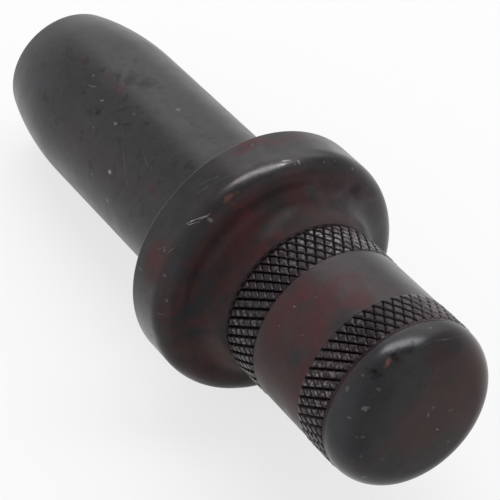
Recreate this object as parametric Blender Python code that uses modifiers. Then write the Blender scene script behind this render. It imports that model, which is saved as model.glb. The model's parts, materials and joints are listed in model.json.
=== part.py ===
"""Flaring tool for copper tube: a pilot, a flaring collar, a knurled handle and a striking cap.

The tool is turned steel. Each piece is an outline revolved about the tool's own axis, which runs
from the striking face (0) to the nose. The whole tool then lies on its collar and its nose.
"""

import math

import bmesh
import bpy

MM = 0.001

# Striking cap
CROWN_HEIGHT = 0.3 * MM          # rise of the slightly crowned striking face
CROWN_LAND_DIAMETER = 7.0 * MM   # flat centre of the crown
CAP_EDGE_RADIUS = 5.9 * MM       # big rounding between the striking face and the side
CAP_SPIGOT_LENGTH = 12.5 * MM    # part of the cap that sits inside the handle

# Handle
HANDLE_DIAMETER = 31.5 * MM      # plain bands; the collar's hub and the cap share it
CAP_STRIP = 0.5 * MM             # plain strip between the cap and the first knurl
CAP_KNURL_WIDTH = 7.1 * MM
PLAIN_BAND_WIDTH = 14.1 * MM
COLLAR_KNURL_WIDTH = 8.4 * MM
COLLAR_STRIP = 0.4 * MM          # plain strip between the second knurl and the collar
BORE_CHAMFER = 0.8 * MM

# Diamond knurl
KNURL_PITCH = 1.88 * MM          # groove to groove, round the handle
KNURL_HELIX = math.radians(31)   # angle between a groove and the tool's axis
KNURL_RISE = 0.15 * MM           # rolled crests stand proud of the plain bands
KNURL_DEPTH = 0.55 * MM          # crest to groove floor
KNURL_RUNOUT = 0.2 * MM          # short slope where the grooves end at a band's edge

# Flaring collar
RIM_DIAMETER = 49.3 * MM
RIM_WIDTH = 6.6 * MM             # straight part of the rim
RIM_BACK_RADIUS = 4.0 * MM       # rounding from the rim to the back of the collar
RIM_FRONT_CHAMFER = 0.25 * MM
HUB_FILLET_LENGTH = 6.4 * MM     # hollow sweep from the handle out to the collar, along the axis
HUB_FILLET_RISE = 4.1 * MM       # and across it
FRONT_FACE_WIDTH = 2.4 * MM      # flat ring in front, round the recess that holds the flare seat
RECESS_DEPTH = 1.0 * MM          # the foot of the flare seat sits this deep in the front face

# Pilot
PILOT_DIAMETER = 31.4 * MM       # slides into a 1 1/4 inch type K tube, 31.6 mm bore
PILOT_LENGTH = 50.7 * MM         # from the front of the collar to where the nose starts
FLARE_ANGLE = math.radians(45)   # seat that opens the tube's end
SEAT_LAND = 0.5 * MM             # short straight edge at the foot of the seat
NOSE_LENGTH = 20.0 * MM
NOSE_END_DIAMETER = 25.5 * MM
NOSE_EDGE_RADIUS = 0.8 * MM

# Tang of the pilot, which carries the blow from the cap's spigot
TANG_DIAMETER = 16.0 * MM
TANG_CHAMFER = 1.0 * MM

# Fits
SEAT_GAP = 0.3 * MM              # between faces that seat on each other
BORE_GAP = 0.3 * MM              # round the tang and the spigot

# Facets
STEPS = 64                       # round every smooth piece
ARC_STEPS = 6                    # along a rounding or a fillet
OGIVE_STEPS = 9                  # along the nose

HANDLE_RADIUS = HANDLE_DIAMETER / 2
RIM_RADIUS = RIM_DIAMETER / 2
PILOT_RADIUS = PILOT_DIAMETER / 2
TANG_RADIUS = TANG_DIAMETER / 2
BORE_RADIUS = TANG_RADIUS + BORE_GAP
CREST_RADIUS = HANDLE_RADIUS + KNURL_RISE
RECESS_RADIUS = RIM_RADIUS - FRONT_FACE_WIDTH
SEAT_RADIUS = RECESS_RADIUS - BORE_GAP

# A rounding is limited by the wall that it stands on
COLLAR_WALL = RIM_RADIUS - HANDLE_RADIUS
BACK_RADIUS = min(RIM_BACK_RADIUS, COLLAR_WALL / 2)
FILLET_RISE = min(HUB_FILLET_RISE, COLLAR_WALL - BACK_RADIUS)

# Places along the axis, from the striking face
CAP_END = CROWN_HEIGHT + CAP_EDGE_RADIUS
SPIGOT_END = CAP_END + CAP_SPIGOT_LENGTH
HANDLE_START = CAP_END + SEAT_GAP
CAP_KNURL_START = HANDLE_START + CAP_STRIP
CAP_KNURL_END = CAP_KNURL_START + CAP_KNURL_WIDTH
COLLAR_KNURL_START = CAP_KNURL_END + PLAIN_BAND_WIDTH
COLLAR_KNURL_END = COLLAR_KNURL_START + COLLAR_KNURL_WIDTH
HANDLE_END = COLLAR_KNURL_END + COLLAR_STRIP
COLLAR_START = HANDLE_END + SEAT_GAP
COLLAR_BACK = COLLAR_START + HUB_FILLET_LENGTH
COLLAR_END = COLLAR_BACK + BACK_RADIUS + RIM_WIDTH
TANG_START = SPIGOT_END + SEAT_GAP
RECESS_FLOOR = COLLAR_END - RECESS_DEPTH
SEAT_START = RECESS_FLOOR + SEAT_GAP
NOSE_START = COLLAR_END + PILOT_LENGTH
NOSE_END = NOSE_START + NOSE_LENGTH


def clear_scene():
    """Remove whatever the file holds."""
    for obj in list(bpy.data.objects):
        bpy.data.objects.remove(obj, do_unlink=True)


def arc(centre, radii, start, end, steps):
    """Points (radius, along) on an elliptical arc; angles are from the outward radial direction."""
    points = []
    for step in range(steps + 1):
        angle = start + (end - start) * step / steps
        points.append((centre[0] + radii[0] * math.cos(angle), centre[1] + radii[1] * math.sin(angle)))
    return points


def nose_outline():
    """Bullet nose from its flat end back to the pilot's straight side."""
    drop = PILOT_RADIUS - NOSE_END_DIAMETER / 2
    ogive = (NOSE_LENGTH ** 2 + drop ** 2) / (2 * drop)
    ogive_centre = PILOT_RADIUS - ogive
    # The small end rounding touches both the ogive and the flat end
    edge_along = NOSE_END - NOSE_EDGE_RADIUS
    inner = ogive - NOSE_EDGE_RADIUS
    edge_centre = ogive_centre + math.sqrt(inner ** 2 - (edge_along - NOSE_START) ** 2)
    meet = math.asin((edge_along - NOSE_START) / inner)
    edge = arc((edge_centre, edge_along), (NOSE_EDGE_RADIUS,) * 2, math.pi / 2, meet, 3)
    side = arc((ogive_centre, NOSE_START), (ogive,) * 2, meet, 0, OGIVE_STEPS)
    return [(0, NOSE_END)] + edge + side[1:]


def pilot_outline():
    """Nose, straight pilot, flare seat, and the tang that runs back through collar and handle."""
    seat_foot = COLLAR_END + SEAT_LAND
    seat_top = seat_foot + (SEAT_RADIUS - PILOT_RADIUS) / math.tan(FLARE_ANGLE)
    return nose_outline() + [
        (PILOT_RADIUS, seat_top),
        (SEAT_RADIUS, seat_foot),
        (SEAT_RADIUS, SEAT_START),
        (TANG_RADIUS, SEAT_START),
        (TANG_RADIUS, TANG_START + TANG_CHAMFER),
        (TANG_RADIUS - TANG_CHAMFER, TANG_START),
        (0, TANG_START),
    ]


def collar_outline():
    """Closed outline of the collar: rim, rounded back, hollow sweep to the hub, bore and recess."""
    back = arc((RIM_RADIUS - BACK_RADIUS, COLLAR_BACK + BACK_RADIUS), (BACK_RADIUS,) * 2,
               0, -math.pi / 2, ARC_STEPS)
    sweep = arc((HANDLE_RADIUS + FILLET_RISE, COLLAR_START), (FILLET_RISE, HUB_FILLET_LENGTH),
                math.pi / 2, math.pi, ARC_STEPS + 2)
    return [
        (RIM_RADIUS - RIM_FRONT_CHAMFER, COLLAR_END),
        (RIM_RADIUS, COLLAR_END - RIM_FRONT_CHAMFER),
    ] + back + sweep + [
        (BORE_RADIUS + BORE_CHAMFER, COLLAR_START),
        (BORE_RADIUS, COLLAR_START + BORE_CHAMFER),
        (BORE_RADIUS, RECESS_FLOOR),
        (RECESS_RADIUS, RECESS_FLOOR),
        (RECESS_RADIUS, COLLAR_END),
    ]


def cap_outline():
    """Spigot that fills the handle's bore, then the rounded edge and the crowned striking face."""
    face_radius = HANDLE_RADIUS - CAP_EDGE_RADIUS
    land_radius = CROWN_LAND_DIAMETER / 2
    edge = arc((face_radius, CAP_END), (CAP_EDGE_RADIUS,) * 2, 0, -math.pi / 2, ARC_STEPS + 2)
    crown = []
    for step in (1, 2):
        share = 1 - step / 3
        radius = land_radius + (face_radius - land_radius) * share
        crown.append((radius, CROWN_HEIGHT * share ** 2))
    return [
        (0, SPIGOT_END),
        (TANG_RADIUS - TANG_CHAMFER, SPIGOT_END),
        (TANG_RADIUS, SPIGOT_END - TANG_CHAMFER),
        (TANG_RADIUS, CAP_END),
    ] + edge + crown + [(land_radius, 0), (0, 0)]


def knurl_rows(start, end):
    """Places of the knurl's lattice rows, half a diamond apart, between a band's two edges."""
    half_diamond = KNURL_PITCH / math.tan(KNURL_HELIX) / 2
    first = start + KNURL_RUNOUT
    last = end - KNURL_RUNOUT
    count = max(2, round((last - first) / half_diamond))
    return [first + (last - first) * row / count for row in range(count + 1)]


def handle_outline(bands):
    """Closed outline of the handle: two knurled bands with plain ones beside them, and the bore."""
    side = [(HANDLE_RADIUS, HANDLE_END)]
    for start, end, rows in reversed(bands):
        side.append((HANDLE_RADIUS, end))
        side += [(CREST_RADIUS, along) for along in reversed(rows)]
        side.append((HANDLE_RADIUS, start))
    return side + [
        (HANDLE_RADIUS, HANDLE_START),
        (BORE_RADIUS + BORE_CHAMFER, HANDLE_START),
        (BORE_RADIUS, HANDLE_START + BORE_CHAMFER),
        (BORE_RADIUS, HANDLE_END - BORE_CHAMFER),
        (BORE_RADIUS + BORE_CHAMFER, HANDLE_END),
    ]


def turn(name, outline, closed, steps, collection):
    """Revolve an outline of (radius, along) points about the tool's axis."""
    mesh = bpy.data.meshes.new(name)
    edges = [(index, index + 1) for index in range(len(outline) - 1)]
    if closed:
        edges.append((len(outline) - 1, 0))
    mesh.from_pydata([(radius, 0, along) for radius, along in outline], edges, [])
    piece = bpy.data.objects.new(name, mesh)
    collection.objects.link(piece)
    screw = piece.modifiers.new("turn", "SCREW")
    screw.axis = "Z"
    screw.angle = 2 * math.pi
    screw.steps = steps
    screw.render_steps = steps
    screw.use_merge_vertices = True
    screw.merge_threshold = 0.000001
    return piece


def press_knurl(piece, bands, steps):
    """Press two crossing sets of grooves into the bands of a turned handle.

    Round the handle there are two lattice columns to a diamond, and along it two rows. Where column
    and row add up to an even number two grooves cross, so that point goes down to the groove floor
    and the odd points stay as crests. Each facet is then folded along the groove that crosses it.
    """
    evaluated = piece.evaluated_get(bpy.context.evaluated_depsgraph_get())
    mesh = bpy.data.meshes.new_from_object(evaluated)
    piece.modifiers.clear()
    piece.data = mesh
    work = bmesh.new()
    work.from_mesh(mesh)
    lattice = [along for start, end, rows in bands for along in rows]
    floors = set()
    on_lattice = set()
    for vertex in work.verts:
        row = min(range(len(lattice)), key=lambda index: abs(lattice[index] - vertex.co.z))
        off_lattice = abs(lattice[row] - vertex.co.z) > KNURL_RUNOUT / 2
        if off_lattice or vertex.co.xy.length < HANDLE_RADIUS:
            continue
        on_lattice.add(vertex)
        column = round(math.atan2(vertex.co.y, vertex.co.x) / (2 * math.pi) * steps)
        if (column + row) % 2 == 0:
            floors.add(vertex)
    for vertex in floors:
        vertex.co.xy *= (CREST_RADIUS - KNURL_DEPTH) / CREST_RADIUS
    for face in list(work.faces):
        if all(corner in on_lattice for corner in face.verts):
            low = [corner for corner in face.verts if corner in floors]
            if len(low) == 2:
                bmesh.utils.face_split(face, low[0], low[1])
    slopes = [face for face in work.faces if len(face.verts) > 3 and floors.intersection(face.verts)]
    bmesh.ops.triangulate(work, faces=slopes)
    work.to_mesh(mesh)
    work.free()


def steel(name, colour, roughness):
    """Oxidised steel in one tone."""
    material = bpy.data.materials.new(name)
    material.use_nodes = True
    shader = material.node_tree.nodes["Principled BSDF"]
    shader.inputs["Base Color"].default_value = (*colour, 1)
    shader.inputs["Metallic"].default_value = 0.8
    shader.inputs["Roughness"].default_value = roughness
    return material


def finish(piece, material, parent):
    """Smooth shading with crisp edges, one material, and a place on the tool's axis."""
    piece.data.materials.append(material)
    if piece.modifiers:
        piece.modifiers["turn"].use_smooth_shade = True
        piece.rotation_euler.z = math.pi / STEPS
    else:
        piece.data.shade_smooth()
        piece.data.set_sharp_from_angle(angle=math.radians(30))
    piece.parent = parent


def rest_tilt(outline):
    """Angle by which the tool dips, nose down, before its nose meets what the rim stands on."""
    rim = (RIM_RADIUS, COLLAR_END - RIM_FRONT_CHAMFER)
    ahead = [point for point in outline if point[1] > COLLAR_END]
    return min(math.atan2(rim[0] - radius, along - rim[1]) for radius, along in ahead)


def reach(outline, along_part, across_part):
    """How far the tool extends in a direction given by its parts along and across the axis."""
    return max(along * along_part + radius * across_part for radius, along in outline)


def build():
    clear_scene()
    collection = bpy.data.collections.new("flaring_tool")
    bpy.context.scene.collection.children.link(collection)

    bands = [
        (CAP_KNURL_START, CAP_KNURL_END, knurl_rows(CAP_KNURL_START, CAP_KNURL_END)),
        (COLLAR_KNURL_START, COLLAR_KNURL_END, knurl_rows(COLLAR_KNURL_START, COLLAR_KNURL_END)),
    ]
    diamonds = round(math.pi * 2 * CREST_RADIUS / KNURL_PITCH)
    outline = pilot_outline() + collar_outline() + cap_outline()

    # The tool's axis lies along X, nose ahead; the origin is under the middle of its box
    tilt = rest_tilt(outline)
    dip, level = math.sin(tilt), math.cos(tilt)
    ahead = reach(outline, level, dip)
    behind = reach(outline, -level, dip)
    below = reach(outline, dip, level * math.cos(math.pi / STEPS))
    axis = bpy.data.objects.new("tool_axis", None)
    collection.objects.link(axis)
    axis.rotation_euler.y = math.pi / 2 + tilt
    axis.location = ((behind - ahead) / 2, 0, below)

    finish(turn("pilot", pilot_outline(), False, STEPS, collection),
           steel("blued_steel", (0.045, 0.046, 0.050), 0.38), axis)
    finish(turn("flaring_collar", collar_outline(), True, STEPS, collection),
           steel("plum_blued_steel", (0.042, 0.022, 0.020), 0.34), axis)
    handle = turn("handle", handle_outline(bands), True, diamonds * 2, collection)
    press_knurl(handle, bands, diamonds * 2)
    finish(handle, steel("plum_knurled_steel", (0.055, 0.030, 0.031), 0.40), axis)
    finish(turn("striking_cap", cap_outline(), False, STEPS, collection),
           steel("hardened_steel", (0.036, 0.035, 0.036), 0.36), axis)
    bpy.context.view_layer.update()


build()
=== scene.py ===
"""Hammer-driven flaring tool for copper tube, in blackened steel, lying on a white table.

The tool is four turned pieces on one axis. Outlines are in millimetres, as (radius, along), where
along is counted from the striking face to the nose. The sections follow the tool as it goes together.
"""

import json
import math

import bmesh
import bpy
from mathutils import Matrix, Vector


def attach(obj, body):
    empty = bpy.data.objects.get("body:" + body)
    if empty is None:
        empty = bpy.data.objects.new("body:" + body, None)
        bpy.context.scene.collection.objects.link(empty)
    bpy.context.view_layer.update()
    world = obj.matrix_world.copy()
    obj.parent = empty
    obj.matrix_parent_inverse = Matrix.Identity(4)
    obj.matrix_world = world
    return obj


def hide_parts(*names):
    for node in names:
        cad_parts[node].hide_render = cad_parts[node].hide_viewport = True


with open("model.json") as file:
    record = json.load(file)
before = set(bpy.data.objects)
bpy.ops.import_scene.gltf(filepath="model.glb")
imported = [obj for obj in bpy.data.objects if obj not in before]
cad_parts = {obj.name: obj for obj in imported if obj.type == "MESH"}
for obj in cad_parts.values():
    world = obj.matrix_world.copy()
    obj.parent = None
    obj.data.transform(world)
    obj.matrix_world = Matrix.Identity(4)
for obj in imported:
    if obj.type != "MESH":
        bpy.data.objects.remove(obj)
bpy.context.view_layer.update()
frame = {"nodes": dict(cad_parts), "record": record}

# PILOT
# The long mandrel that goes into the tube, turned from tool steel and blackened in a hot salt bath.
# Its bullet nose finds the bore, and the 45 degree seat at its root opens the tube's end. Its tang
# runs back through the collar and the handle.

MM = 0.001
PILOT_RADIUS = 15.7
NOSE_LENGTH = 20.0
NOSE_END_RADIUS = 12.75
NOSE_EDGE_RADIUS = 0.8
SEAT_LAND = 0.5
SEAT_GAP = 0.03          # between faces that seat on each other, a hairline
SEAT_DEPTH = 1.0         # the seat's foot sits this deep in the collar's recess
TANG_RADIUS = 8.0
TANG_CHAMFER = 1.0
EDGE_BREAK = 0.12        # every turned edge is broken this much
SEAM_BREAK = 0.04        # and this much at the two ends of the grip, so that its seams hardly show
SHARP_EDGE = math.radians(32)
ROUND = 360              # facets round a smooth piece
WITHIN = 0.9979          # keeps the round pieces inside the solids' 64 flats and coarser arcs
SHORT = 0.015            # and the two ends inside theirs
BARE_STEEL = "#a8a6a4"
PILOT_ROUGHNESS = 0.34   # of the oiled oxide
OIL_PATCHES = 0.03       # how much rougher it is where the oil is thin, and smoother where it is thick
BLOOM_ROUGHER = 0.1      # and how much rougher the bloom is than the oxide
EASED = {"interpolation_type": "SMOOTHSTEP"}

striking_mount = next(mount for mount in frame["record"]["mounts"] if mount["name"] == "striking_face")
forward = -Vector(striking_mount["axis"])
top = (Vector((0, 0, 1)) - forward * forward.z).normalized()
side = forward.cross(top)
TOOL = Matrix.Translation(striking_mount["pos_m"]) @ Matrix((top, side, forward)).transposed().to_4x4()


def reach(node):
    """Where a piece starts and ends along the tool, and its greatest radius."""
    to_tool = TOOL.inverted()
    places = [to_tool @ vertex.co / MM for vertex in frame["nodes"][node].data.vertices]
    alongs = [place.z for place in places]
    return min(alongs), max(alongs), max(place.xy.length for place in places)


def arc(centre, radii, start, end, steps):
    """Points (radius, along) on an elliptical arc; degrees from the outward radial direction."""
    points = []
    for step in range(steps + 1):
        angle = math.radians(start + (end - start) * step / steps)
        points.append((centre[0] + radii[0] * math.cos(angle), centre[1] + radii[1] * math.sin(angle)))
    return points


def rows(start, end, radius, spacing):
    """Points at one radius, evenly spaced from start to end, both ends left out."""
    count = max(2, round(abs(end - start) / spacing))
    return [(radius, start + (end - start) * step / count) for step in range(1, count)]


def turned(name, outline, steps=ROUND):
    """Closed mesh of an outline revolved about the tool's axis."""
    mesh = bpy.data.meshes.new(name)
    edges = [(index, index + 1) for index in range(len(outline) - 1)]
    if outline[0][0] > 0:
        edges.append((len(outline) - 1, 0))
    mesh.from_pydata([(radius * WITHIN, 0, along) for radius, along in outline], edges, [])
    profile = bpy.data.objects.new(name, mesh)
    bpy.context.scene.collection.objects.link(profile)
    screw = profile.modifiers.new("turn", "SCREW")
    screw.steps = steps
    screw.render_steps = steps
    screw.use_merge_vertices = True
    screw.merge_threshold = 0.00001
    screw.use_smooth_shade = True
    solid = bpy.data.meshes.new_from_object(profile.evaluated_get(bpy.context.evaluated_depsgraph_get()))
    bpy.data.objects.remove(profile)
    solid.name = name
    return solid


def place_piece(name, mesh, material, node):
    """Put a turned mesh on the tool's axis, in place of its solid."""
    mesh.transform(TOOL @ Matrix.Scale(MM, 4))
    mesh.set_sharp_from_angle(angle=SHARP_EDGE)
    mesh.materials.clear()
    mesh.materials.append(material)
    piece = bpy.data.objects.new(name, mesh)
    bpy.context.scene.collection.objects.link(piece)
    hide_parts(node)
    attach(piece, "root")


def linear(code):
    """Linear colour of an sRGB hex value."""
    channels = [int(code[index:index + 2], 16) / 255 for index in (1, 3, 5)]
    return [c / 12.92 if c <= 0.04045 else ((c + 0.055) / 1.055) ** 2.4 for c in channels] + [1]


def add(tree, kind, inputs, **settings):
    """Add a node with its settings; an input is a value, or a node or socket to link it from."""
    made = tree.nodes.new("ShaderNode" + kind)
    for name, value in settings.items():
        setattr(made, name, value)
    for socket, value in inputs.items():
        if isinstance(value, bpy.types.Node):
            value = next(output for output in value.outputs if output.enabled)
        if isinstance(value, bpy.types.NodeSocket):
            tree.links.new(value, made.inputs[socket])
        else:
            made.inputs[socket].default_value = value
    return made


def cloud(tree, space, size, low, high, seed=0, detail=3):
    """Soft noise with features of a size in millimetres: 0 where it is under low, 1 where over high."""
    noise = add(tree, "TexNoise", {"Vector": space, "W": seed, "Scale": 1 / size, "Detail": detail},
                noise_dimensions="4D")
    return add(tree, "MapRange", {0: noise, 1: low, 2: high}, **EASED)


def frayed(tree, space, size, least, most):
    """Uneven factor round 1 that frays the outlines of marks."""
    noise = add(tree, "TexNoise", {"Vector": space, "Scale": 1 / size, "Detail": 5, "Roughness": 0.55})
    return add(tree, "MapRange", {0: noise, 1: 0.3, 2: 0.7, 3: least, 4: most}, **EASED)


def marks(tree, space, fray, soft, places):
    """Mask of frayed oval marks. Each is (along, radius, angle, width round, length, turn, strength)."""
    mask = 0.0
    for along, radius, angle, wide, long, turn, strength in places:
        round_axis = Matrix.Rotation(math.radians(angle), 3, "Z")
        facing = round_axis @ Matrix.Rotation(math.radians(turn), 3, "X")
        # A mark goes deeper than it is wide, so the widest ones show faintly on the far side too
        local = add(tree, "Mapping", {
            "Vector": space, "Location": round_axis @ Vector((radius, 0, along)),
            "Rotation": facing.to_euler(), "Scale": (max(wide, long), wide / 2, long / 2)},
            vector_type="TEXTURE")
        distance = add(tree, "VectorMath", {0: local}, operation="LENGTH")
        distance = add(tree, "Math", {0: distance, 1: fray}, operation="MULTIPLY")
        mark = add(tree, "MapRange", {0: distance, 1: 1 + soft, 2: 1 - soft, 4: strength}, **EASED)
        mask = add(tree, "Math", {0: mask, 1: mark}, operation="MAXIMUM")
    return mask


def oxide_steel(name, skin, bare, roughness):
    """Steel under a hot salt bath's black oxide, oiled, with a duller bloom over part of it.

    The oxide is thin and smooth, so it mirrors as a metal does, only dimly, and turns pale at a
    grazing angle. The bloom is powdery: it scatters its own colour and mirrors little. Where the
    oxide is knocked off, in the marks that bare lists, the steel shines through.
    """
    material = bpy.data.materials.new(name)
    material.use_nodes = True
    tree = material.node_tree
    tree.nodes.clear()
    space = add(tree, "Mapping", {
        "Vector": add(tree, "TexCoord", {}).outputs["Object"], "Location": TOOL.to_translation(),
        "Rotation": TOOL.to_euler(), "Scale": (MM, MM, MM)}, vector_type="TEXTURE")
    fine = frayed(tree, space, 1.3, 0.5, 1.6)
    broad = frayed(tree, space, 6.0, 0.6, 1.5)
    oxide, bloom, powder, worn = skin(tree, space, fine, broad)
    worn = add(tree, "Math", {0: worn, 1: marks(tree, space, fine, 0.6, bare)}, operation="MAXIMUM")
    # Etched grain, drawn at a third of a millimetre, as fine as the picture can show
    grain = cloud(tree, space, 0.35, 0.2, 0.8, detail=2)
    mottle = cloud(tree, space, 2.2, 0.3, 0.7, seed=3, detail=4)
    grain_shade = add(tree, "MapRange", {0: grain, 3: 0.92, 4: 1.08}, **EASED)
    mottle_shade = add(tree, "MapRange", {0: mottle, 3: 0.95, 4: 1.05}, **EASED)
    shade = add(tree, "Math", {0: grain_shade, 1: mottle_shade}, operation="MULTIPLY")
    colour = add(tree, "Mix", {0: bloom, 6: oxide, 7: powder}, data_type="RGBA")
    colour = add(tree, "VectorMath", {0: colour, "Scale": shade}, operation="SCALE")
    colour = add(tree, "Mix", {0: worn, 6: colour, 7: linear(BARE_STEEL)}, data_type="RGBA")
    metal = add(tree, "MapRange", {0: bloom, 3: 1, 4: 0}, **EASED)
    metal = add(tree, "Math", {0: metal, 1: worn}, operation="MAXIMUM")
    # Oil lies unevenly, in patches of a few millimetres, and the bloom is duller than the oxide
    oiled = cloud(tree, space, 4.5, 0.25, 0.75, seed=9)
    oiled = add(tree, "MapRange", {
        0: oiled, 3: roughness - OIL_PATCHES, 4: roughness + OIL_PATCHES}, **EASED)
    rough = add(tree, "MapRange", {0: bloom, 4: BLOOM_ROUGHER}, **EASED)
    rough = add(tree, "Math", {0: oiled, 1: rough}, operation="ADD")
    # The grain's depth, and the slight unevenness that polishing before the bath left
    bump = add(tree, "Bump", {"Height": grain, "Strength": 0.35, "Distance": 0.000004})
    uneven = cloud(tree, space, 5.5, 0.2, 0.8, seed=11, detail=2)
    bump = add(tree, "Bump", {"Height": uneven, "Strength": 0.6, "Distance": 0.00002, "Normal": bump})
    steel = add(tree, "BsdfPrincipled", {
        "Base Color": colour, "Metallic": metal, "Specular IOR Level": 0.1, "Roughness": rough,
        "Normal": bump})
    add(tree, "OutputMaterial", {"Surface": steel})
    return material


def pilot_skin(tree, space, fine, broad):
    """Grey-black oxide, bluer at the nose, with a warm belt low on the side, pits and red blotches."""
    blue = marks(tree, space, broad, 0.9, [(112, 15, -40, 40, 22, 0, 1.0)])
    oxide = add(tree, "Mix", {0: blue, 6: linear("#3d3d3d"), 7: linear("#3c3c3e")}, data_type="RGBA")
    pits = add(tree, "MapRange", {0: cloud(tree, space, 1.7, 0.54, 0.7, seed=1, detail=5), 4: 0.55}, **EASED)
    oxide = add(tree, "Mix", {0: pits, 6: oxide, 7: linear("#2f2e2e")}, data_type="RGBA")
    soot = marks(tree, space, fine, 0.7, [
        (94.2, 15.7, -1.8, 2.6, 3.6, -30, 0.8), (91.4, 15.7, 3.0, 3.4, 3.8, 0, 0.7),
        (96.5, 15.7, -7.6, 0.9, 2.2, -40, 0.8), (92.5, 15.7, -35.8, 1.5, 1.4, 0, 0.9),
        (84.4, 15.7, -27.8, 0.6, 2.0, 35, 0.8), (87.0, 15.7, -68, 1.0, 2.2, 0, 0.6),
        (108, 15.4, -56, 1.2, 3.2, 0, 0.6), (71.5, 15.7, -73, 1.6, 1.2, 0, 0.5),
        (100.5, 15.7, -12, 1.0, 2.0, 60, 0.6)])
    oxide = add(tree, "Mix", {0: soot, 6: oxide, 7: linear("#2a2b2b")}, data_type="RGBA")
    belt = marks(tree, space, broad, 0.9, [(86, 15.7, -62, 8, 50, 6, 0.1), (115, 14.5, -58, 8, 16, 0, 0.06)])
    red = marks(tree, space, fine, 0.7, [
        (93.0, 15.7, -13.4, 1.8, 3.8, -30, 0.32), (98.2, 15.7, -12.1, 1.6, 2.6, -20, 0.28),
        (97.8, 15.7, -18.2, 0.6, 0.8, 0, 0.5), (88.7, 15.7, -0.6, 2.0, 4.0, 0, 0.1),
        (91.0, 15.7, -48, 1.4, 1.8, 0, 0.35), (95.5, 15.7, -50, 1.2, 2.0, 0, 0.25),
        (68.0, 15.7, -47, 2.0, 5.0, 0, 0.3), (106, 15.5, -17, 1.8, 2.4, 0, 0.28),
        (120, 14, -48, 2, 2.5, 0, 0.15)])
    bloom = add(tree, "Math", {0: belt, 1: red}, operation="MAXIMUM")
    return oxide, bloom, linear("#4a2a30"), 0.0


pilot_bare = [
    (93.8, 15.7, -27.6, 0.3, 0.9, 40, 0.4), (97.8, 15.7, -18.2, 0.3, 0.4, 0, 0.2),
    (100.8, 15.7, -19.6, 0.5, 0.5, 0, 0.18), (98.6, 15.7, -25.5, 0.3, 1.2, 20, 0.2),
    (80.3, 15.7, 6.1, 0.7, 1.0, 0, 0.16), (83.6, 15.7, 18.7, 0.35, 0.5, 0, 0.25),
    (85.2, 15.7, -19.6, 0.6, 0.6, 0, 0.1), (86.7, 15.7, -32.5, 0.5, 0.6, 0, 0.28),
    (90.9, 15.7, -45.2, 0.35, 0.5, 0, 0.25), (81.0, 15.7, -60, 0.5, 0.8, 0, 0.5),
    (86.5, 15.7, -73, 0.35, 0.5, 0, 0.35), (80.0, 15.7, -80, 0.35, 0.6, 0, 0.35),
    (77.5, 15.7, -50, 0.25, 9.0, -36, 0.05), (74.0, 15.7, -36, 0.25, 4.0, -20, 0.05)]

tang_start, nose_end, seat_radius = reach("pilot")
collar_start, collar_end, rim_radius = reach("flaring_collar")
nose_start = nose_end - NOSE_LENGTH
nose_end -= SHORT
nose_drop = PILOT_RADIUS - NOSE_END_RADIUS
ogive = (NOSE_LENGTH ** 2 + nose_drop ** 2) / (2 * nose_drop)
edge_along = nose_end - NOSE_EDGE_RADIUS
edge_rise = edge_along - nose_start
edge_reach = ogive - NOSE_EDGE_RADIUS
edge_centre = PILOT_RADIUS - ogive + math.sqrt(edge_reach ** 2 - edge_rise ** 2)
meet = math.degrees(math.asin(edge_rise / edge_reach))
seat_foot = collar_end + SEAT_LAND
seat_top = seat_foot + seat_radius - PILOT_RADIUS
seat_start = collar_end - SEAT_DEPTH + SEAT_GAP
pilot_outline = (
    [(0, nose_end)]
    + arc((edge_centre, edge_along), (NOSE_EDGE_RADIUS,) * 2, 90, meet, 8)
    + arc((PILOT_RADIUS - ogive, nose_start), (ogive,) * 2, meet, 0, 48)[1:]
    + rows(nose_start, seat_top, PILOT_RADIUS, 1.0)
    + [(PILOT_RADIUS, seat_top)]
    + [(seat_radius - EDGE_BREAK, seat_foot + EDGE_BREAK), (seat_radius, seat_foot)]
    + [(seat_radius, seat_start + EDGE_BREAK), (seat_radius - EDGE_BREAK, seat_start)]
    + [(TANG_RADIUS, seat_start), (TANG_RADIUS, tang_start + TANG_CHAMFER)]
    + [(TANG_RADIUS - TANG_CHAMFER, tang_start), (0, tang_start)]
)
place_piece("pilot_mandrel", turned("pilot_mandrel", pilot_outline),
            oxide_steel("black_oxide_turned_steel", pilot_skin, pilot_bare, PILOT_ROUGHNESS),
            "pilot")

# FLARING COLLAR
# The wide flange behind the seat, turned with a big rounding at its back and a hollow sweep down to
# the hub. The salt bath left this piece plum brown. It is slid over the pilot's tang.

RIM_BACK_RADIUS = 4.0
RIM_WIDTH = 6.6
RIM_FRONT_ROUND = 0.25
SWEEP_LENGTH = 6.4
SWEEP_RISE = 4.1
HANDLE_RADIUS = 15.75
BORE_RADIUS = 8.3
RECESS_GAP = 0.05        # round the seat's foot
COLLAR_ROUGHNESS = 0.27


def radius_of(tree, space):
    """Distance from the tool's axis."""
    across = add(tree, "VectorMath", {0: space, 1: (1, 1, 0)}, operation="MULTIPLY")
    return add(tree, "VectorMath", {0: across}, operation="LENGTH")


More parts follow.
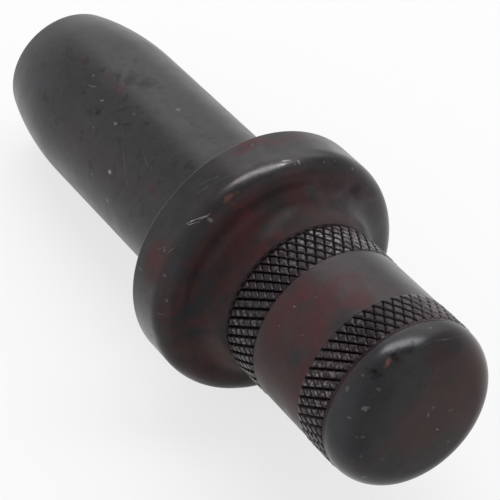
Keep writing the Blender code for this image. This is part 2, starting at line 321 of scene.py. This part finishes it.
def collar_skin(tree, space, fine, broad):
    """Plum-brown bloom over the back, little of it on the rim, blue-black blotches and a worn edge."""
    plum = cloud(tree, space, 8, 0.3, 0.62, seed=2)
    powder = add(tree, "Mix", {0: plum, 6: linear("#342d2d"), 7: linear("#3c2c2d")}, data_type="RGBA")
    brown = marks(tree, space, broad, 0.9, [
        (44, 20, -168, 12, 14, 0, 1.0), (44, 20, -144, 12, 14, 0, 1.0), (44, 20, -122, 11, 12, 0, 0.8),
        (44, 20, -105, 10, 8, 0, 0.4)])
    powder = add(tree, "Mix", {0: brown, 6: powder, 7: linear("#443a35")}, data_type="RGBA")
    # A pale patch low on the back is a painted reflection of the white table
    table_glow = marks(tree, space, broad, 0.9, [(43, 18.5, -166, 10, 7, 0, 0.9), (40, 16.4, -110, 12, 5, 0, 0.4)])
    powder = add(tree, "Mix", {0: table_glow, 6: powder, 7: linear("#564d46")}, data_type="RGBA")
    rosy = marks(tree, space, broad, 0.9, [(43.5, 18.5, 50, 14, 12, 0, 1.0)])
    powder = add(tree, "Mix", {0: rosy, 6: powder, 7: linear("#483b3e")}, data_type="RGBA")
    radius = radius_of(tree, space)
    corner = add(tree, "MapRange", {0: radius, 1: 21.0, 2: 23.0, 4: 0.5}, **EASED)
    powder = add(tree, "Mix", {0: corner, 6: powder, 7: linear("#2e2c2d")}, data_type="RGBA")
    deep = marks(tree, space, broad, 0.9, [
        (43.4, 18.5, -24, 11, 7, 0, 0.9), (43.0, 18.0, -50, 8, 5, 0, 0.3), (42.3, 17.4, -92, 9, 5, 0, 0.6),
        (38.8, 16.0, -19, 9, 4, 0, 1.0), (39.6, 16.3, -56, 9, 4, 0, 0.55), (43.5, 18.5, 16, 11, 7, 0, 0.4),
        (43.0, 18.3, -18, 6, 5, 0, 0.6), (42.8, 18.0, -122, 8, 6, 0, 0.8), (44.6, 22.8, -78, 8, 3.0, 0, 0.8),
        (53.0, 24.6, 2, 8, 3.5, 0, 1.0), (49.5, 24.6, -62, 8, 6, 0, 1.0), (47.3, 24.6, -50, 6, 3.4, 0, 0.6),
        (51.6, 24.6, 13, 8, 3.0, 0, 0.8)])
    powder = add(tree, "Mix", {0: deep, 6: powder, 7: linear("#4b292b")}, data_type="RGBA")
    speckle = cloud(tree, space, 3.2, 0.46, 0.66, seed=12, detail=4)
    speckle = add(tree, "MapRange", {0: speckle, 4: 0.6}, **EASED)
    powder = add(tree, "Mix", {0: speckle, 6: powder, 7: linear("#2a2b2c")}, data_type="RGBA")
    # Painted shade in the hollow of the sweep under the lamps, and painted light on the slope above it
    upper = marks(tree, space, broad, 0.9, [(43, 19, -21, 32, 18, 0, 1.0)])
    hollow_shade = add(tree, "MapRange", {0: radius, 1: 18.8, 2: 17.0}, **EASED)
    hollow_shade = add(tree, "Math", {0: upper, 1: hollow_shade}, operation="MULTIPLY")
    slope_start = add(tree, "MapRange", {0: radius, 1: 18.4, 2: 19.8}, **EASED)
    slope_end = add(tree, "MapRange", {0: radius, 1: 22.4, 2: 21.2}, **EASED)
    slope_light = add(tree, "Math", {0: slope_start, 1: slope_end}, operation="MULTIPLY")
    slope_light = add(tree, "Math", {0: upper, 1: slope_light}, operation="MULTIPLY")
    # The colour is scaled down for the painted shade and up for the painted light
    thin = add(tree, "MapRange", {0: hollow_shade, 3: 1, 4: 0.58}, **EASED)
    slope_light_scale = add(tree, "MapRange", {0: slope_light, 3: 1, 4: 1.2}, **EASED)
    painted_light_and_shade = add(tree, "Math", {0: thin, 1: slope_light_scale}, operation="MULTIPLY")
    powder = add(tree, "VectorMath", {0: powder, "Scale": painted_light_and_shade}, operation="SCALE")
    rust = marks(tree, space, fine, 0.7, [
        (45.05, 23.6, -19.8, 2.6, 0.6, 0, 0.8), (44.9, 23.5, 30, 1.2, 0.5, 0, 0.4)])
    powder = add(tree, "Mix", {0: rust, 6: powder, 7: linear("#5e3c35")}, data_type="RGBA")
    # The bloom ends at the rounding, where hands and tubes rub, except for a few streaks over the rim
    # On the far side of the back the bloom is left off and the oxide painted lighter, a painted reflection
    far_glow = marks(tree, space, broad, 0.9, [(41.5, 17.5, 88, 19, 15, 0, 1.0)])
    bloom = add(tree, "MapRange", {0: radius, 1: 22.0, 2: 23.9, 3: 1, 4: 0.13}, **EASED)
    outside_far_glow = add(tree, "MapRange", {0: far_glow, 3: 1, 4: 0}, **EASED)
    bloom = add(tree, "Math", {0: bloom, 1: outside_far_glow}, operation="MULTIPLY")
    streaks = marks(tree, space, broad, 0.9, [
        (47.3, 24.6, -52, 6, 3.4, 0, 0.5), (49.5, 24.6, -62, 8, 5.0, 0, 0.8),
        (53.0, 24.6, 2, 8, 3.0, 0, 0.85), (51.6, 24.6, 13, 8, 3.0, 0, 0.55),
        (50.5, 24.6, 26, 8, 2.0, 0, 0.45), (45, 23.6, -166, 12, 8, 0, 1.0), (45, 23.6, -138, 12, 8, 0, 1.0),
        (45, 23.6, -111, 12, 8, 0, 0.9), (45, 23.6, -84, 12, 7, 0, 0.6), (45.5, 24.0, 72, 12, 3, 0, 0.5)])
    bloom = add(tree, "Math", {0: bloom, 1: streaks}, operation="MAXIMUM")
    bloom = add(tree, "Math", {0: bloom, 1: rust}, operation="MAXIMUM")
    blue = marks(tree, space, fine, 0.8, [
        (42.7, 17.6, -62, 1.6, 1.6, 0, 0.8), (42.7, 17.6, -72.7, 2.2, 1.8, 0, 0.9),
        (43.6, 19.2, -81, 2.6, 2.0, 0, 0.9), (39.3, 15.9, -66, 1.4, 1.2, 0, 0.7),
        (44.9, 23.4, -58, 2.0, 3.4, 0, 0.8), (45.2, 23.7, -50, 2.2, 2.4, 0, 0.7),
        (43.2, 18.6, -95, 2.0, 2.0, 0, 0.7), (53.0, 24.6, -2.7, 1.1, 1.3, 0, 0.9),
        (43.9, 21.0, -30, 6, 1.6, 0, 0.5), (43.2, 19.5, -24, 1.6, 1.0, 0, 0.6)])
    powder = add(tree, "Mix", {0: blue, 6: powder, 7: linear("#272c2e")}, data_type="RGBA")
    # The oxide painted lighter on the far side is a painted reflection
    oxide = add(tree, "Mix", {0: far_glow, 6: linear("#3c3b3c"), 7: linear("#4e4d4e")}, data_type="RGBA")
    # A painted highlight lightens the oxide on the corner's upper side
    painted_sheen = marks(tree, space, broad, 0.9, [(45.3, 23.9, 14, 14, 4, 0, 1.0)])
    oxide = add(tree, "Mix", {0: painted_sheen, 6: oxide, 7: linear("#4b4a4b")}, data_type="RGBA")
    # The sharp front edge is rubbed a little brighter in places
    along = add(tree, "SeparateXYZ", {0: space}).outputs["Z"]
    edge = add(tree, "MapRange", {0: along, 1: 54.0, 2: 54.16, 4: 0.25}, **EASED)
    outside = add(tree, "MapRange", {0: radius, 1: 24.3, 2: 24.45}, **EASED)
    edge = add(tree, "Math", {0: edge, 1: outside}, operation="MULTIPLY")
    rubbed = cloud(tree, space, 3.0, 0.35, 0.6, seed=4)
    return oxide, bloom, powder, add(tree, "Math", {0: edge, 1: rubbed}, operation="MULTIPLY")


collar_bare = [
    (45.9, 24.1, -34.2, 0.14, 3.2, 62, 0.8), (45.5, 23.9, -33.2, 0.12, 2.0, 70, 0.6),
    (46.2, 24.3, -37.8, 0.12, 1.8, 56, 0.5), (44.7, 23.25, -31.8, 0.4, 0.5, 60, 0.3),
    (45.3, 23.8, -31.0, 0.1, 1.6, 80, 0.35), (45.9, 24.2, 9.8, 0.14, 1.3, 82, 0.45),
    (45.5, 24.0, 7.0, 0.1, 1.6, 84, 0.3), (45.3, 23.8, 14.9, 0.3, 0.5, 20, 0.6),
    (45.0, 23.6, 13.0, 0.25, 0.3, 0, 0.4), (52.4, 24.6, 3.2, 0.9, 0.4, 30, 0.12),
    (48.2, 24.6, -54.1, 0.4, 0.4, 0, 0.25), (47.0, 24.56, -52.8, 0.1, 1.2, 70, 0.25),
    (46.1, 24.27, -62.7, 0.4, 0.4, 0, 0.15), (44.8, 23.4, -73.3, 0.4, 0.4, 0, 0.2),
    (45.3, 23.8, -80.9, 0.2, 1.0, 0, 0.12), (49.0, 24.6, -54, 0.12, 1.6, 40, 0.12),
    (49.5, 24.6, -24, 0.1, 4.5, 74, 0.12), (50.4, 24.6, -21, 0.1, 3.6, 68, 0.12),
    (48.6, 24.6, -17, 0.1, 3.0, 78, 0.1), (53.0, 24.6, -69, 0.15, 1.6, 0, 0.2),
    (45.0, 23.6, 28, 0.3, 0.4, 0, 0.35), (45.2, 23.8, 34, 0.3, 0.3, 0, 0.3),
    (44.9, 23.5, 45, 0.5, 0.4, 0, 0.25)]

handle_start, handle_end, crest_radius = reach("handle")
hub_seam = (handle_end + collar_start) / 2 + SEAT_GAP / 2
collar_back = collar_end - RIM_WIDTH - RIM_BACK_RADIUS
recess_radius = seat_radius + RECESS_GAP
collar_outline = (
    arc((rim_radius - RIM_FRONT_ROUND, collar_end - RIM_FRONT_ROUND), (RIM_FRONT_ROUND,) * 2, 90, 0, 6)
    + rows(collar_end - RIM_FRONT_ROUND, collar_back + RIM_BACK_RADIUS, rim_radius, 0.4)
    + arc((rim_radius - RIM_BACK_RADIUS, collar_back + RIM_BACK_RADIUS), (RIM_BACK_RADIUS,) * 2, 0, -90, 24)
    + arc((HANDLE_RADIUS + SWEEP_RISE, collar_start), (SWEEP_RISE, SWEEP_LENGTH), 90, 180, 32)
    + [(HANDLE_RADIUS, hub_seam + SEAM_BREAK), (HANDLE_RADIUS - SEAM_BREAK, hub_seam)]
    + [(BORE_RADIUS, hub_seam), (BORE_RADIUS, collar_end - SEAT_DEPTH)]
    + [(recess_radius, collar_end - SEAT_DEPTH), (recess_radius, collar_end - EDGE_BREAK)]
    + [(recess_radius + EDGE_BREAK, collar_end)]
)
place_piece("flaring_flange", turned("flaring_flange", collar_outline),
            oxide_steel("plum_oxide_turned_steel", collar_skin, collar_bare, COLLAR_ROUGHNESS),
            "flaring_collar")

# HANDLE
# The grip, a sleeve with two bands of diamond knurling rolled into it and a plain band between them.
# The knurl's crests stand a little proud of the plain band, as a rolled knurl's do, and the bottoms of its
# grooves are coloured near black.

TEETH = 53
KNURL_HELIX = math.radians(31)
KNURL_STEPS = 10         # mesh columns and rows to one diamond
KNURL_DEEP = (0.40, 0.19, 0.02, 0, 0, 0)        # by mesh steps from a groove's floor: about 80 degrees
KNURL_SHALLOW = (0.25, 0.07, 0, 0, 0, 0)        # the other wheel of the knurling tool bit less
KNURL_END = 0.06         # the grooves end in this short a wall
KNURL_TAPER = 0.5        # and the crests sink to the plain band within this
KNURL_ROOM = 0.05        # the lattice's rows keep this far from a band's end rows
CREST_SLACK = 0.05       # a point of the mesh this near the crests' radius is part of the knurl
KNURLED = (              # start, width, turn in mesh columns, shift along
    (0.3, 7.3, 4, -0.32),
    (21.7, 8.4, 0, 0.166),
)
SOLIDS_GAP = 0.3         # between the cap's and the handle's solids; the pieces here close it
HANDLE_ROUGHNESS = 0.27

diamond_length = 2 * math.pi * crest_radius / TEETH / math.tan(KNURL_HELIX)
row_step = diamond_length / KNURL_STEPS
cap_spigot_end, cap_radius = reach("striking_cap")[1:]
cap_seam = handle_start - SOLIDS_GAP / 2
bands = [(handle_start + start, width, turn, shift) for start, width, turn, shift in KNURLED]
plain_start = bands[0][0] + bands[0][1]
plain_end = bands[1][0]


def knurled_rows(start, width, shift):
    """A band's lattice rows along the handle, with a row at each end of the grooves."""
    first = start + KNURL_END
    last = start + width - KNURL_END
    count = math.floor((last - first) / row_step) + 2
    lattice = [shift + (math.ceil((first - shift) / row_step) + row) * row_step for row in range(count)]
    return [first] + [along for along in lattice if first + KNURL_ROOM < along < last - KNURL_ROOM] + [last]


def groove(phase, depths):
    """How deep the nearest groove is at a place on the lattice."""
    off = abs((phase + KNURL_STEPS / 2) % KNURL_STEPS - KNURL_STEPS / 2)
    below = min(int(off), len(depths) - 2)
    return depths[below] + (depths[below + 1] - depths[below]) * (off - below)


def press_knurl(mesh):
    """Roll the two crossing sets of grooves, and fold each facet along the groove it lies in."""
    work = bmesh.new()
    work.from_mesh(mesh)
    lattice = {}
    for vertex in work.verts:
        if vertex.co.xy.length < crest_radius * WITHIN - CREST_SLACK:
            continue
        for start, width, turn, shift in bands:
            if start <= vertex.co.z <= start + width:
                column = round(math.atan2(vertex.co.y, vertex.co.x) / (2 * math.pi) * TEETH * KNURL_STEPS)
                inside = min(vertex.co.z - start, start + width - vertex.co.z) / KNURL_TAPER
                crest = HANDLE_RADIUS + (crest_radius - HANDLE_RADIUS) * min(1, inside)
                lattice[vertex] = (column - turn, (vertex.co.z - shift) / row_step, crest)
    for face in list(work.faces):
        if any(corner not in lattice for corner in face.verts):
            continue
        columns = [lattice[corner][0] for corner in face.verts]
        low_row = min(lattice[corner][1] for corner in face.verts)
        column = sum(columns) / 4
        row = sum(lattice[corner][1] for corner in face.verts) / 4
        rising = groove(column - row, KNURL_SHALLOW) > groove(column + row, KNURL_DEEP)
        ends = [corner for corner in face.verts
                if (lattice[corner][0] == min(columns)) == ((lattice[corner][1] == low_row) == rising)]
        if max(columns) - min(columns) == 1:
            bmesh.utils.face_split(face, ends[0], ends[1])
    for vertex, (column, row, crest) in lattice.items():
        floor = crest_radius - max(groove(column + row, KNURL_DEEP), groove(column - row, KNURL_SHALLOW))
        vertex.co.xy *= min(crest, floor) / crest_radius
    work.to_mesh(mesh)
    work.free()


def handle_skin(tree, space, fine, broad):
    """Plum bloom, worn grey on the upper side and on the knurls' crests, with near-black grooves."""
    plum = cloud(tree, space, 9, 0.3, 0.62, seed=6)
    powder = add(tree, "Mix", {0: plum, 6: linear("#3f282a"), 7: linear("#472729")}, data_type="RGBA")
    speckle = cloud(tree, space, 2.8, 0.48, 0.68, seed=13, detail=4)
    speckle = add(tree, "MapRange", {0: speckle, 4: 0.4}, **EASED)
    powder = add(tree, "Mix", {0: speckle, 6: powder, 7: linear("#352c2e")}, data_type="RGBA")
    earthy = marks(tree, space, broad, 0.9, [(24, 15.75, -108, 26, 18, 0, 0.8)])
    powder = add(tree, "Mix", {0: earthy, 6: powder, 7: linear("#3f2e2b")}, data_type="RGBA")
    grey = marks(tree, space, broad, 0.8, [
        (27, 15.75, 22, 21, 15, 0, 1.0), (18, 15.75, 35, 21, 16, 0, 1.0), (33, 15.9, 0, 50, 12, 0, 0.7),
        (10.5, 15.9, -5, 24, 8, 0, 0.8), (6.6, 15.75, 30, 28, 1.8, 0, 1.0)])
    bloom = add(tree, "MapRange", {0: grey, 3: 0.85, 4: 0.1}, **EASED)
    dark = marks(tree, space, broad, 0.9, [
        (17.75, 15.75, -57.7, 3.0, 3.0, 0, 0.9), (15.3, 15.75, -16.4, 3.4, 2.2, 0, 0.7),
        (24.5, 15.75, -75, 3, 4, 0, 0.5), (27.2, 15.75, -29, 3.0, 1.6, 0, 0.5)])
    powder = add(tree, "Mix", {0: dark, 6: powder, 7: linear("#2a2c2e")}, data_type="RGBA")
    # The knurled bands lie outside the plain one, and their crests are what stands over its radius
    along = add(tree, "SeparateXYZ", {0: space}).outputs["Z"]
    from_middle = add(tree, "Math", {0: along, 1: (plain_start + plain_end) / 2}, operation="SUBTRACT")
    from_middle = add(tree, "Math", {0: from_middle}, operation="ABSOLUTE")
    half = (plain_end - plain_start) / 2
    knurl = add(tree, "MapRange", {0: from_middle, 1: half - 0.03, 2: half + 0.05}, **EASED)
    radius = radius_of(tree, space)
    crest = add(tree, "MapRange", {0: radius, 1: HANDLE_RADIUS + 0.05, 2: HANDLE_RADIUS + 0.15}, **EASED)
    crest = add(tree, "Math", {0: knurl, 1: crest}, operation="MULTIPLY")
    powder = add(tree, "Mix", {0: knurl, 6: powder, 7: linear("#251d20")}, data_type="RGBA")
    powder = add(tree, "Mix", {0: crest, 6: powder, 7: linear("#2c2526")}, data_type="RGBA")
    pink = marks(tree, space, broad, 0.9, [(10.5, 15.9, -75, 24, 11, 0, 1.0)])
    pink = add(tree, "Math", {0: pink, 1: knurl}, operation="MULTIPLY")
    powder = add(tree, "Mix", {0: pink, 6: powder, 7: linear("#2d1d21")}, data_type="RGBA")
    less = add(tree, "MapRange", {0: knurl, 3: 1, 4: 0.5}, **EASED)
    bloom = add(tree, "Math", {0: bloom, 1: less}, operation="MULTIPLY")
    oxide = add(tree, "Mix", {0: knurl, 6: linear("#3c3b3c"), 7: linear("#322b2d")}, data_type="RGBA")
    oxide = add(tree, "Mix", {0: crest, 6: oxide, 7: linear("#363536")}, data_type="RGBA")
    # Painted shade darkens the knurls' oxide on the underside and in a few patches
    painted_shade = marks(tree, space, broad, 0.9, [
        (33, 15.9, -130, 10, 11, 0, 1.0), (33, 15.9, -106, 8, 11, 0, 0.7), (10.5, 15.9, -126, 10, 11, 0, 1.0),
        (10.5, 15.9, -98, 10, 11, 0, 1.0), (10.5, 15.9, -76, 7, 11, 0, 0.4), (10.5, 15.9, -17, 7, 11, 0, 0.4),
        (33, 15.9, 54, 9, 10, 0, 1.0)])
    painted_shade = add(tree, "Math", {0: painted_shade, 1: knurl}, operation="MULTIPLY")
    oxide = add(tree, "Mix", {0: painted_shade, 6: oxide, 7: linear("#181516")}, data_type="RGBA")
    # The bottoms of the grooves are coloured near black
    groove_bottom = add(tree, "MapRange", {
        0: radius, 1: HANDLE_RADIUS - 0.05, 2: HANDLE_RADIUS - 0.17, 4: 0.85}, **EASED)
    oxide = add(tree, "Mix", {0: groove_bottom, 6: oxide, 7: linear("#101010")}, data_type="RGBA")
    powder = add(tree, "Mix", {0: groove_bottom, 6: powder, 7: linear("#080707")}, data_type="RGBA")
    # Here and there a hand or a bench has rubbed the crests down to steel
    rubbed = marks(tree, space, broad, 0.9, [
        (10.5, 15.9, -62, 12, 10, 0, 1.0), (33, 15.9, -78, 10, 10, 0, 0.6), (33, 15.9, 17, 12, 9, 0, 1.0),
        (10.5, 15.9, 26, 7, 10, 0, 0.3)])
    rim = add(tree, "MapRange", {0: radius, 1: HANDLE_RADIUS + 0.03, 2: HANDLE_RADIUS + 0.11}, **EASED)
    rim = add(tree, "Math", {0: rim, 1: knurl}, operation="MULTIPLY")
    worn = add(tree, "Math", {0: rubbed, 1: rim}, operation="MULTIPLY")
    flecks = add(tree, "MapRange", {0: cloud(tree, space, 0.7, 0.42, 0.62, seed=14), 4: 0.42}, **EASED)
    return oxide, bloom, powder, add(tree, "Math", {0: worn, 1: flecks}, operation="MULTIPLY")


handle_bare = [
    (24.2, 15.75, -34.9, 0.4, 0.5, 0, 0.35), (22.4, 15.75, -22.1, 0.6, 0.6, 0, 0.07),
    (24.5, 15.75, -50, 0.4, 0.5, 0, 0.12), (19.0, 15.75, -44, 0.3, 0.8, 30, 0.08)]

grip_side = []
for start, width, turn, shift in reversed(bands):
    grip_side.append((HANDLE_RADIUS, start + width))
    grip_side += [(crest_radius, along) for along in reversed(knurled_rows(start, width, shift))]
    grip_side.append((HANDLE_RADIUS, start))
    if start == plain_end:
        grip_side += rows(plain_end, plain_start, HANDLE_RADIUS, 0.5)
grip_end = hub_seam - SEAT_GAP
grip_start = cap_seam + SEAT_GAP / 2
handle_outline = (
    [(HANDLE_RADIUS - SEAM_BREAK, grip_end), (HANDLE_RADIUS, grip_end - SEAM_BREAK)]
    + grip_side
    + [(HANDLE_RADIUS, grip_start + SEAM_BREAK), (HANDLE_RADIUS - SEAM_BREAK, grip_start)]
    + [(BORE_RADIUS, grip_start), (BORE_RADIUS, grip_end)]
)
handle_mesh = turned("knurled_handle", handle_outline, TEETH * KNURL_STEPS)
press_knurl(handle_mesh)
place_piece("knurled_handle", handle_mesh,
            oxide_steel("plum_oxide_knurled_steel", handle_skin, handle_bare, HANDLE_ROUGHNESS),
            "handle")

# STRIKING CAP
# The hardened end that the hammer hits, rounded so that it doesn't burr over, with a nearly flat
# crown. It is quenched harder than the rest and came out of the bath blue black, with a brown bloom
# on one half. Its spigot fills the handle's bore and meets the pilot's tang.

CROWN_HEIGHT = 0.3
CAP_EDGE_RADIUS = 5.9
CROWN_LAND = 3.5         # the flat middle that the hammer meets
CROWN_STEPS = 12
CROWN_SHORT = 0.005      # keeps the rounding inside the solid's
CAP_ROUGHNESS = 0.27


def cap_skin(tree, space, fine, broad):
    """Blue-grey oxide under a thin grey bloom, browner over the centre and one half, and a rust spot."""
    steely = cloud(tree, space, 7, 0.35, 0.65, seed=8)
    oxide = add(tree, "Mix", {0: steely, 6: linear("#3c3d40"), 7: linear("#3e3d3e")}, data_type="RGBA")
    # A painted highlight lightens the oxide on the inner part of the rounding
    painted_sheen = marks(tree, space, broad, 0.9, [(1.2, 13.0, 2, 14, 2.6, 0, 1.0)])
    oxide = add(tree, "Mix", {0: painted_sheen, 6: oxide, 7: linear("#4c4b4c")}, data_type="RGBA")
    brown = marks(tree, space, broad, 0.9, [
        (0.3, 7, 25, 8, 8, 0, 0.8), (1.0, 10, 68, 12, 12, 0, 1.0),
        (0.5, 9, 105, 11, 11, 0, 0.8), (0.5, 8, 150, 9, 9, 0, 0.4)])
    middle = add(tree, "MapRange", {0: radius_of(tree, space), 1: 10.0, 2: 3.5, 4: 0.8}, **EASED)
    brown = add(tree, "Math", {0: brown, 1: middle}, operation="MAXIMUM")
    oxide = add(tree, "Mix", {0: brown, 6: oxide, 7: linear("#463836")}, data_type="RGBA")
    powder = add(tree, "Mix", {0: brown, 6: linear("#2a2a2c"), 7: linear("#332421")}, data_type="RGBA")
    dark = marks(tree, space, fine, 0.8, [
        (3.35, 15, -13.2, 1.6, 1.0, 0, 0.9), (3.3, 14.95, -28.9, 1.3, 1.3, 0, 0.9),
        (3.0, 14.7, -5, 3.0, 1.0, 0, 0.6)])
    oxide = add(tree, "Mix", {0: dark, 6: oxide, 7: linear("#1c1d1f")}, data_type="RGBA")
    rust = marks(tree, space, fine, 0.8, [(2.98, 14.78, -19.3, 1.5, 0.8, 20, 0.9)])
    powder = add(tree, "Mix", {0: rust, 6: powder, 7: linear("#5f3f39")}, data_type="RGBA")
    plum = marks(tree, space, broad, 0.6, [(6.1, 15.8, -46, 10, 0.9, 0, 0.6)])
    powder = add(tree, "Mix", {0: plum, 6: powder, 7: linear("#46282b")}, data_type="RGBA")
    # The bloom thins out over the rounding
    along = add(tree, "SeparateXYZ", {0: space}).outputs["Z"]
    bloom = add(tree, "MapRange", {0: brown, 3: 0.6, 4: 0.45}, **EASED)
    thinner = add(tree, "MapRange", {0: along, 1: 0.4, 2: 3.4, 3: 1, 4: 0.2}, **EASED)
    bloom = add(tree, "Math", {0: bloom, 1: thinner}, operation="MULTIPLY")
    stained = add(tree, "Math", {0: rust, 1: plum}, operation="MAXIMUM")
    return oxide, add(tree, "Math", {0: bloom, 1: stained}, operation="MAXIMUM"), powder, 0.0


cap_bare = [
    (4.2, 15.4, -35.6, 0.5, 0.6, 0, 0.12), (5.0, 15.6, -47.8, 0.7, 0.4, 0, 0.12),
    (1.5, 13.4, -35.7, 0.35, 0.35, 0, 0.14), (1.5, 13.4, -52.2, 0.8, 0.7, 30, 0.22),
    (2.7, 14.6, -62.8, 0.4, 0.4, 0, 0.2), (0, 2.96, 31.7, 0.3, 0.3, 0, 0.2),
    (0, 1.62, 19.1, 0.25, 0.4, 0, 0.3), (0, 3.62, 143.1, 0.3, 0.5, 0, 0.4),
    (0, 4.88, 91.5, 0.4, 0.4, 0, 0.12), (1.2, 13.0, -76.1, 0.35, 0.35, 0, 0.14),
    (0.8, 12.2, -75.8, 0.3, 0.35, 0, 0.12), (0.9, 12.4, -95.2, 0.6, 0.3, 0, 0.12),
    (0.3, 9.5, -111.5, 0.35, 0.35, 0, 0.1), (1.7, 13.6, -121.7, 0.6, 0.5, 0, 0.16),
    (0.2, 8.4, 148.6, 0.3, 0.3, 0, 0.12), (4.8, 15.6, 18, 0.5, 0.4, 0, 0.14),
    (2.6, 14.5, 24, 5.0, 0.12, 0, 0.16), (2.9, 14.7, 33, 3.0, 0.1, 6, 0.12)]

face_radius = cap_radius - CAP_EDGE_RADIUS
cap_end = CROWN_HEIGHT + CAP_EDGE_RADIUS + CROWN_SHORT
rounding = arc((face_radius, cap_end), (CAP_EDGE_RADIUS,) * 2, 0, -85, 40)
crown_radius, crown_along = rounding[-1]
crown = []
for step in range(1, CROWN_STEPS + 1):
    share = 1 - step / CROWN_STEPS
    radius = CROWN_LAND + (crown_radius - CROWN_LAND) * share
    crown.append((radius, SHORT + (crown_along - SHORT) * share ** 2))
cap_outline = (
    [(0, cap_spigot_end), (TANG_RADIUS - TANG_CHAMFER, cap_spigot_end)]
    + [(TANG_RADIUS, cap_spigot_end - TANG_CHAMFER), (TANG_RADIUS, cap_seam - SEAT_GAP / 2)]
    + [(cap_radius - SEAM_BREAK, cap_seam - SEAT_GAP / 2), (cap_radius, cap_seam - SEAT_GAP / 2 - SEAM_BREAK)]
    + rounding
    + crown
    + [(CROWN_LAND * 0.5, SHORT), (0, SHORT)]
)
place_piece("striking_end", turned("striking_end", cap_outline),
            oxide_steel("blued_hardened_steel", cap_skin, cap_bare, CAP_ROUGHNESS),
            "striking_cap")

# TABLE
# A plain white sheet. Its paint is grey in itself and lifted to white where it is seen or mirrored,
# so that it stays white round the tool and keeps only the tool's soft shadow.

TABLE_SIZE = 6.0
TABLE_LIFT = 0.72        # the light that the paint adds to what it reflects


def white_table():
    """Matt paint that looks white, takes a soft shadow and throws little light back on the tool."""
    material = bpy.data.materials.new("white_table")
    material.use_nodes = True
    tree = material.node_tree
    tree.nodes.clear()
    rays = add(tree, "LightPath", {}).outputs
    seen = add(tree, "Math", {0: rays["Is Camera Ray"], 1: rays["Is Glossy Ray"]}, operation="ADD")
    seen = add(tree, "Math", {0: seen, 1: rays["Is Transmission Ray"]}, operation="ADD")
    paint = add(tree, "BsdfPrincipled", {
        "Base Color": linear("#7c7c7c"), "Roughness": 0.9, "Specular IOR Level": 0.1,
        "Emission Color": (1, 1, 1, 1),
        "Emission Strength": add(tree, "Math", {0: seen, 1: TABLE_LIFT}, operation="MULTIPLY")})
    add(tree, "OutputMaterial", {"Surface": paint})
    return material


table_mesh = bpy.data.meshes.new("table")
work = bmesh.new()
bmesh.ops.create_grid(work, x_segments=1, y_segments=1, size=TABLE_SIZE / 2)
work.to_mesh(table_mesh)
work.free()
table_mesh.materials.append(white_table())
table = bpy.data.objects.new("table", table_mesh)
bpy.context.scene.collection.objects.link(table)

# LIGHT
# A white room, brightest on the far side and dim where the photographer stands, which the black steel
# shows pale and deep black, with a strip light and a broad soft box overhead. The soft box is
# brighter in its middle, so that its reflection fades out at the sides.

ROOM_MIDDLE = 0.88
ROOM_SLOPE = Vector((0.22, 0.14, -0.36))        # how the room's brightness changes with direction
ROOM_LEAST = 0.25
LAMP_DISTANCE = 1.2
LAMPS = (    # name, direction from the tool, its length's direction, size, power
    ("strip_light", (0.075, -0.255, 0.963), (0.52, 0.74, 0), (1.13, 0.31), 7.9),
    ("soft_box", (0.55, -0.59, 0.64), (0.62, 0.78, 0), (1.55, 1.2), 3.3),
    ("soft_box_core", (0.565, -0.59, 0.625), (0.62, 0.78, 0), (1.55, 0.54), 1.5),
)

world = bpy.data.worlds.new("studio")
bpy.context.scene.world = world
world.use_nodes = True
sky = world.node_tree
sky.nodes.clear()
direction = add(sky, "TexCoord", {}).outputs["Generated"]
level = add(sky, "VectorMath", {0: direction, 1: ROOM_SLOPE}, operation="DOT_PRODUCT")
level = add(sky, "Math", {0: level, 1: ROOM_MIDDLE}, operation="ADD")
level = add(sky, "Math", {0: level, 1: ROOM_LEAST}, operation="MAXIMUM")
add(sky, "OutputWorld", {"Surface": add(sky, "Background", {"Color": (1, 1, 1, 1), "Strength": level})})

for name, direction, lengthwise, size, power in LAMPS:
    lamp_data = bpy.data.lights.new(name, "AREA")
    lamp_data.shape = "RECTANGLE"
    lamp_data.size, lamp_data.size_y = size
    lamp_data.energy = power
    lamp = bpy.data.objects.new(name, lamp_data)
    back = Vector(direction).normalized()
    across = back.cross(Vector(lengthwise)).normalized()
    lamp.location = back * LAMP_DISTANCE
    lamp.rotation_euler = Matrix((across.cross(back), across, back)).transposed().to_euler()
    bpy.context.scene.collection.objects.link(lamp)

# CAMERA
# A long lens from behind the striking face, to its left and well above, as in a catalogue picture.
# Its place and direction were fitted to the photo's outline.

CAMERA_PLACE = Vector((-0.229064, 0.138096, 0.312201))
CAMERA_FORWARD = Vector((0.569129, -0.355176, -0.741581))
LENS = 155.135

camera_data = bpy.data.cameras.new("camera")
camera_data.lens = LENS
camera_data.sensor_width = 36
camera_data.sensor_fit = "HORIZONTAL"
camera_data.clip_start = 0.01
camera = bpy.data.objects.new("camera", camera_data)
camera.location = CAMERA_PLACE
camera.rotation_euler = CAMERA_FORWARD.to_track_quat("-Z", "Y").to_euler()
bpy.context.scene.collection.objects.link(camera)
bpy.context.scene.camera = camera

bpy.context.scene.view_settings.view_transform = "Standard"
